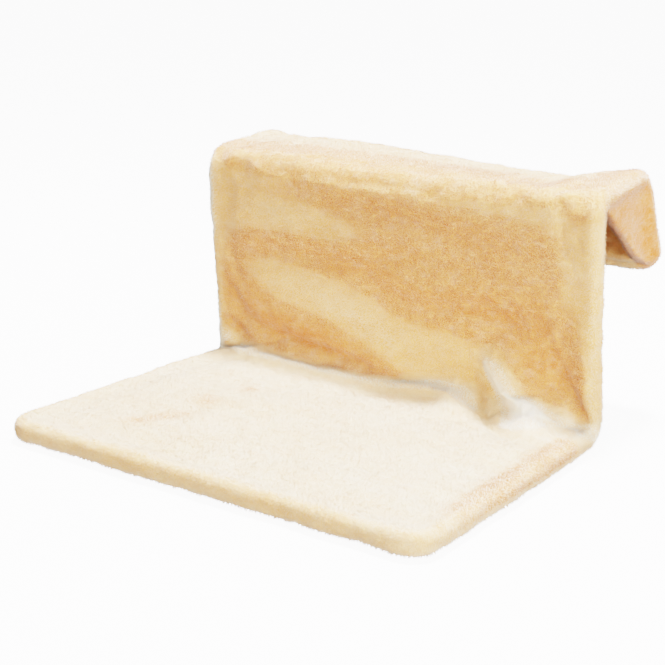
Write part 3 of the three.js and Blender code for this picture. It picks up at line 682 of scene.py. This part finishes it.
PILE_PIECES = []
T_X = SKIN_X[SKIN_T].mean(1)
for name, side, s0, s1, x0, x1, rate in (
        ("pile_bed_left", 0, -99, 300, -300, 0, 0.75), ("pile_bed_right", 0, -99, 300, 0, 300, 0.75),
        ("pile_back_left", 0, 300, 512, -300, 0, 1.0), ("pile_back_right", 0, 300, 512, 0, 300, 1.0),
        ("pile_top_outer", 0, 512, 999, -300, 300, 0.6), ("pile_bed_underside", 1, -99, 300, -300, 300, 0.3),
        ("pile_back_rear", 1, 300, 512, -300, 300, 0.4), ("pile_hook_inner", 1, 512, 999, -300, 300, 0.5)):
    pick = (T_S >= s0) & (T_S < s1) & (T_X >= x0) & (T_X < x1) & ((T_SIDE < 0.5) if side == 0 else (T_SIDE >= 0.5))
    PILE_PIECES.append(pile_piece(name, pick, rate, len(PILE_PIECES) + 31))
print("pile faces", [len(o.data.polygons) for o in PILE_PIECES])


# ------------------------------------------------------------------ materials
def new_material(name):
    mat = bpy.data.materials.new(name)
    mat.use_nodes = True
    nt = mat.node_tree
    bsdf = nt.nodes["Principled BSDF"]
    return mat, nt, bsdf


def noise_node(nt, scale, detail=3.0, rough=0.55, vector=None, distortion=0.0):
    n = nt.nodes.new("ShaderNodeTexNoise")
    n.inputs["Scale"].default_value = scale
    n.inputs["Detail"].default_value = detail
    n.inputs["Roughness"].default_value = rough
    n.inputs["Distortion"].default_value = distortion
    if vector is not None:
        nt.links.new(vector, n.inputs["Vector"])
    return n


def ramp(nt, fac, stops):
    r = nt.nodes.new("ShaderNodeValToRGB")
    els = r.color_ramp.elements
    for el, (pos, col) in ((els[0], stops[0]), (els[1], stops[-1])):
        el.position = pos
        el.color = (*col, 1.0)
    for pos, col in stops[1:-1]:
        els.new(pos).color = (*col, 1.0)
    nt.links.new(fac, r.inputs["Fac"])
    return r


def mix_colour(nt, fac, a, b, mode="MIX"):
    mx = nt.nodes.new("ShaderNodeMix")
    mx.data_type = "RGBA"
    mx.blend_type = mode
    if isinstance(fac, (int, float)):
        mx.inputs[0].default_value = fac
    else:
        nt.links.new(fac, mx.inputs[0])
    for sock, val in ((mx.inputs[6], a), (mx.inputs[7], b)):
        if isinstance(val, tuple):
            sock.default_value = (*val, 1.0)
        else:
            nt.links.new(val, sock)
    return mx.outputs[2]


def mapping(nt, vector, scale=(1, 1, 1), rot=(0, 0, 0)):
    mp = nt.nodes.new("ShaderNodeMapping")
    mp.inputs["Scale"].default_value = scale
    mp.inputs["Rotation"].default_value = rot
    nt.links.new(vector, mp.inputs["Vector"])
    return mp.outputs["Vector"]


def attribute_node(nt, name):
    at = nt.nodes.new("ShaderNodeAttribute")
    at.attribute_name = name
    return at.outputs["Fac"]


def tone_and_light_colour(nt, tc):
    """The pile's colour: cream to beige in wide soft patches, a deeper, more saturated copy on the back wall as
    painted shade, deeper where the nap lies open or shade is painted, paler where it stands up or light is
    painted, with pale tufts strewn over it."""
    wide = noise_node(nt, 16, 3, 0.6, mapping(nt, tc, (0.45, 1.0, 1.0)), 0.6)
    # a pale copy for the lit bed and a deeper, more saturated copy for the shaded back wall: painted shade, mixed by
    # the back attribute
    bed = ramp(nt, wide.outputs["Fac"], [
        (0.30, (0.88, 0.62, 0.36)), (0.50, (0.90, 0.66, 0.41)), (0.72, (0.93, 0.72, 0.48))])
    back = ramp(nt, wide.outputs["Fac"], [
        (0.30, (0.885, 0.495, 0.205)), (0.50, (0.91, 0.535, 0.245)), (0.72, (0.935, 0.585, 0.295))])
    colour = mix_colour(nt, attribute_node(nt, "back"), bed.outputs["Color"], back.outputs["Color"])
    # streaks along the nap break up the edges of the toned places
    streak = noise_node(nt, 55, 4, 0.65, mapping(nt, tc, (0.35, 1.0, 1.0)), 0.4)
    shift = nt.nodes.new("ShaderNodeMath")
    shift.operation = "MULTIPLY_ADD"
    nt.links.new(streak.outputs["Fac"], shift.inputs[0])
    shift.inputs[1].default_value = 0.5
    fine = noise_node(nt, 110, 2, 0.6, mapping(nt, tc, (0.4, 1.0, 1.0)), 0.2)
    level = nt.nodes.new("ShaderNodeMath")
    level.operation = "MULTIPLY_ADD"
    nt.links.new(fine.outputs["Fac"], level.inputs[0])
    level.inputs[1].default_value = 0.9
    level.inputs[2].default_value = -0.07
    total = nt.nodes.new("ShaderNodeMath")
    total.operation = "ADD"
    nt.links.new(attribute_node(nt, "nap"), total.inputs[0])
    nt.links.new(level.outputs["Value"], total.inputs[1])
    nt.links.new(total.outputs["Value"], shift.inputs[2])
    half = nt.nodes.new("ShaderNodeMath")
    half.operation = "MULTIPLY"
    nt.links.new(shift.outputs["Value"], half.inputs[0])
    half.inputs[1].default_value = 0.5
    deep_shade = ramp(nt, half.outputs["Value"], [(0.26, (0, 0, 0)), (0.86, (1, 1, 1))])
    pale = ramp(nt, shift.outputs["Value"], [(0.0, (1, 1, 1)), (0.50, (0, 0, 0))])
    deeper = ramp(nt, half.outputs["Value"], [(0.58, (0, 0, 0)), (0.98, (1, 1, 1))])
    white_highlight = nt.nodes.new("ShaderNodeMapRange")
    nt.links.new(shift.outputs["Value"], white_highlight.inputs["Value"])
    white_highlight.inputs["From Min"].default_value = -0.10
    white_highlight.inputs["From Max"].default_value = -0.90
    # painted shade: deeper, more saturated tan where the strokes are high; painted light: paler up to the palest cream
    # where they are low
    colour = mix_colour(nt, deep_shade.outputs["Color"], colour, (0.74, 0.295, 0.083))
    colour = mix_colour(nt, deeper.outputs["Color"], colour, (0.64, 0.20, 0.032))
    colour = mix_colour(nt, pale.outputs["Color"], colour, (0.95, 0.65, 0.37))
    colour = mix_colour(nt, white_highlight.outputs["Result"], colour, (1.0, 0.93, 0.80))
    tuft = noise_node(nt, 120, 5, 0.7, mapping(nt, tc, (0.6, 1.0, 1.0)), 0.0)
    tuft_r = ramp(nt, tuft.outputs["Fac"], [(0.48, (0, 0, 0)), (0.84, (0.42, 0.42, 0.42))])
    return mix_colour(nt, tuft_r.outputs["Color"], colour, (0.94, 0.77, 0.56))


def pile_material():
    mat, nt, bsdf = new_material("plush_tufts")
    tc = nt.nodes.new("ShaderNodeTexCoord").outputs["Object"]
    colour = tone_and_light_colour(nt, tc)
    # darker and more saturated at the roots as painted shade within the pile, paler at the tips as painted light
    root = mix_colour(nt, 1.0, colour, (0.97, 0.90, 0.80), "MULTIPLY")
    tip = mix_colour(nt, 0.44, colour, (0.97, 0.90, 0.78))
    up = ramp(nt, attribute_node(nt, "tip"), [(0.15, (0, 0, 0)), (0.95, (1, 1, 1))])
    nt.links.new(mix_colour(nt, up.outputs["Color"], root, tip), bsdf.inputs["Base Color"])
    bsdf.inputs["Roughness"].default_value = 0.9
    bsdf.inputs["Specular IOR Level"].default_value = 0.15
    bsdf.inputs["Sheen Weight"].default_value = 0.5
    bsdf.inputs["Sheen Roughness"].default_value = 0.4
    return mat


def plush_material():
    mat, nt, bsdf = new_material("plush_pile")
    tc = nt.nodes.new("ShaderNodeTexCoord").outputs["Object"]
    colour = tone_and_light_colour(nt, tc)
    fine = noise_node(nt, 420, 3, 0.7, tc)
    fine_r = ramp(nt, fine.outputs["Fac"], [(0.30, (0.88, 0.85, 0.80)), (0.70, (1.0, 1.0, 1.0))])
    colour = mix_colour(nt, 0.8, colour, fine_r.outputs["Color"], "MULTIPLY")
    nt.links.new(colour, bsdf.inputs["Base Color"])
    bsdf.inputs["Roughness"].default_value = 0.95
    bsdf.inputs["Specular IOR Level"].default_value = 0.12
    bsdf.inputs["Sheen Weight"].default_value = 1.0
    bsdf.inputs["Sheen Roughness"].default_value = 0.5
    bsdf.inputs["Sheen Tint"].default_value = (1.0, 0.96, 0.92, 1.0)
    bsdf.inputs["Subsurface Weight"].default_value = 0.25
    bsdf.inputs["Subsurface Radius"].default_value = (1.0, 0.6, 0.3)
    bsdf.inputs["Subsurface Scale"].default_value = 0.006
    fibre = noise_node(nt, 900, 2, 0.6, mapping(nt, tc, (1.0, 1.0, 0.55)))
    clumps = noise_node(nt, 170, 3, 0.6, tc, 0.5)
    b1 = nt.nodes.new("ShaderNodeBump")
    b1.inputs["Strength"].default_value = 0.5
    b1.inputs["Distance"].default_value = 0.0020
    nt.links.new(clumps.outputs["Fac"], b1.inputs["Height"])
    b2 = nt.nodes.new("ShaderNodeBump")
    b2.inputs["Strength"].default_value = 0.5
    b2.inputs["Distance"].default_value = 0.0010
    nt.links.new(fibre.outputs["Fac"], b2.inputs["Height"])
    nt.links.new(b1.outputs["Normal"], b2.inputs["Normal"])
    nt.links.new(b2.outputs["Normal"], bsdf.inputs["Normal"])
    return mat


def plain_material(name, dark, light, rough, metallic=0.0, scale=300.0, bump=0.0002, stretch=(1, 1, 1)):
    mat, nt, bsdf = new_material(name)
    tc = nt.nodes.new("ShaderNodeTexCoord").outputs["Object"]
    n = noise_node(nt, scale, 4, 0.6, mapping(nt, tc, stretch))
    col = ramp(nt, n.outputs["Fac"], [(0.3, dark), (0.7, light)])
    nt.links.new(col.outputs["Color"], bsdf.inputs["Base Color"])
    rr = nt.nodes.new("ShaderNodeMapRange")
    rr.inputs["To Min"].default_value = rough[0]
    rr.inputs["To Max"].default_value = rough[1]
    nt.links.new(n.outputs["Fac"], rr.inputs["Value"])
    nt.links.new(rr.outputs["Result"], bsdf.inputs["Roughness"])
    bsdf.inputs["Metallic"].default_value = metallic
    b = nt.nodes.new("ShaderNodeBump")
    b.inputs["Strength"].default_value = 0.5
    b.inputs["Distance"].default_value = bump
    nt.links.new(n.outputs["Fac"], b.inputs["Height"])
    nt.links.new(b.outputs["Normal"], bsdf.inputs["Normal"])
    return mat


PLUSH = plush_material()
TUFTS = pile_material()
COAT = plain_material("powder_coat", (0.60, 0.60, 0.58), (0.68, 0.68, 0.66), (0.38, 0.52), 0.0, 900, 0.00008)
ZINC = plain_material("zinc_plate", (0.52, 0.53, 0.55), (0.66, 0.67, 0.69), (0.28, 0.45), 1.0, 260, 0.00005)
NYLON = plain_material("black_nylon", (0.018, 0.018, 0.02), (0.035, 0.035, 0.04), (0.5, 0.65), 0.0, 1200, 0.00006)
WADDING = plain_material("wadding", (0.80, 0.79, 0.76), (0.92, 0.91, 0.89), (0.9, 1.0), 0.0, 90, 0.0012, (1, 1, 2.5))
TAPE = plain_material("closure_tape", (0.62, 0.52, 0.38), (0.80, 0.70, 0.54), (0.85, 0.98), 0.0, 1500, 0.0005)

cover.data.materials.clear()
cover.data.materials.append(PLUSH)

SLOT_MATERIAL = {"coated_tube": COAT, "zinc_plated": ZINC, "nylon": NYLON,
                 "wadding": WADDING, "closure_tape": TAPE}
slot_of = {p["node"]: p["material_slot"] for p in frame["record"]["subparts"]}
for name, ob in frame["nodes"].items():
    mat = SLOT_MATERIAL.get(slot_of.get(name))
    if mat is not None:
        if ob.material_slots:
            for sl in ob.material_slots:
                sl.material = mat
        else:
            ob.data.materials.append(mat)

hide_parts("bed_cover", "back_cover", "top_cover", "top_slack_cover", "hook_cover",
            "left_hook_web", "right_hook_web")


for piece in [cover] + PILE_PIECES:
    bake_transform(piece)
for piece in PILE_PIECES:
    piece.data.materials.append(TUFTS)

# ------------------------------------------------------------------- the stage
floor_me = bpy.data.meshes.new("floor")
fv, ff = [], []
steps = [(-9.0, 0.0), (6.0, 0.0)]
for k in range(1, 9):
    w = (math.pi / 2) * k / 8
    steps.append((6.0 + 2.5 * math.sin(w), 2.5 - 2.5 * math.cos(w)))
steps.append((8.5, 9.0))
for y, z in steps:
    fv += [(-9.0, y, z - 0.0004 if z == 0 else z), (9.0, y, z - 0.0004 if z == 0 else z)]
for i in range(len(steps) - 1):
    ff.append((2 * i, 2 * i + 1, 2 * i + 3, 2 * i + 2))
floor_me.from_pydata(fv, [], ff)
for p in floor_me.polygons:
    p.use_smooth = True
floor = bpy.data.objects.new("floor", floor_me)
bpy.context.scene.collection.objects.link(floor)
fmat, fnt, fb = new_material("floor_paper")
ftc = fnt.nodes.new("ShaderNodeTexCoord").outputs["Object"]
fn = noise_node(fnt, 40, 2, 0.5, ftc)
fr = ramp(fnt, fn.outputs["Fac"], [(0.3, (0.93, 0.93, 0.93)), (0.7, (0.95, 0.95, 0.95))])
fnt.links.new(fr.outputs["Color"], fb.inputs["Base Color"])
fb.inputs["Roughness"].default_value = 0.95
fb.inputs["Emission Color"].default_value = (1, 1, 1, 1)
fb.inputs["Emission Strength"].default_value = 3.4
floor_me.materials.append(fmat)
# the paper turns up on every side, so that no view looks past its edge
wall_me = bpy.data.meshes.new("floor_wall")
profile = [(5.0 + 2.5 * math.sin(math.pi / 2 * k / 8), 2.5 - 2.5 * math.cos(math.pi / 2 * k / 8)) for k in range(9)] + [(7.5, 9.0)]
TURN = 64
wv = [(r * math.cos(2 * math.pi * i / TURN), r * math.sin(2 * math.pi * i / TURN), z) for r, z in profile for i in range(TURN)]
wf = [(j * TURN + i, j * TURN + (i + 1) % TURN, (j + 1) * TURN + (i + 1) % TURN, (j + 1) * TURN + i)
      for j in range(len(profile) - 1) for i in range(TURN)]
wall_me.from_pydata(wv, [], wf)
for p in wall_me.polygons:
    p.use_smooth = True
wall = bpy.data.objects.new("floor_wall", wall_me)
bpy.context.scene.collection.objects.link(wall)
wall_me.materials.append(fmat)
wall.visible_diffuse = False
wall.visible_shadow = False


def area(name, loc, target, size, power, colour):
    d = bpy.data.lights.new(name, "AREA")
    d.shape = "RECTANGLE"
    d.size, d.size_y = size
    d.energy = power
    d.color = colour
    o = bpy.data.objects.new(name, d)
    o.location = loc
    o.rotation_euler = (Vector(target) - Vector(loc)).to_track_quat("-Z", "Y").to_euler()
    bpy.context.scene.collection.objects.link(o)
    return o


area("overhead", (0.12, 0.20, 2.3), (0.0, 0.14, 0.0), (0.34, 0.34), 126, (1.0, 0.99, 0.985))
low = bpy.data.lights.new("hook_fill", "SPOT")
low.energy = 30
low.color = (1.0, 0.95, 0.88)
low.spot_size, low.spot_blend, low.shadow_soft_size = math.radians(13), 1.0, 0.10
low_at = bpy.data.objects.new("hook_fill", low)
low_at.location = (1.15, -0.22, 0.10)
low_at.rotation_euler = (Vector((0.19, 0.245, 0.180)) - low_at.location).to_track_quat("-Z", "Y").to_euler()
bpy.context.scene.collection.objects.link(low_at)
area("front_fill", (0.5, -2.2, 0.35), (0.0, 0.0, 0.1), (1.4, 0.9), 24, (1.0, 0.965, 0.93))
area("right_fill", (1.55, -0.45, 0.45), (0.0, 0.0, 0.1), (1.2, 1.2), 32, (1.0, 0.97, 0.93))
floor.visible_diffuse = False

world = bpy.data.worlds.new("studio")
bpy.context.scene.world = world
world.use_nodes = True
bg = world.node_tree.nodes["Background"]
bg.inputs["Color"].default_value = (1.0, 0.99, 0.98, 1.0)
bg.inputs["Strength"].default_value = 0.42
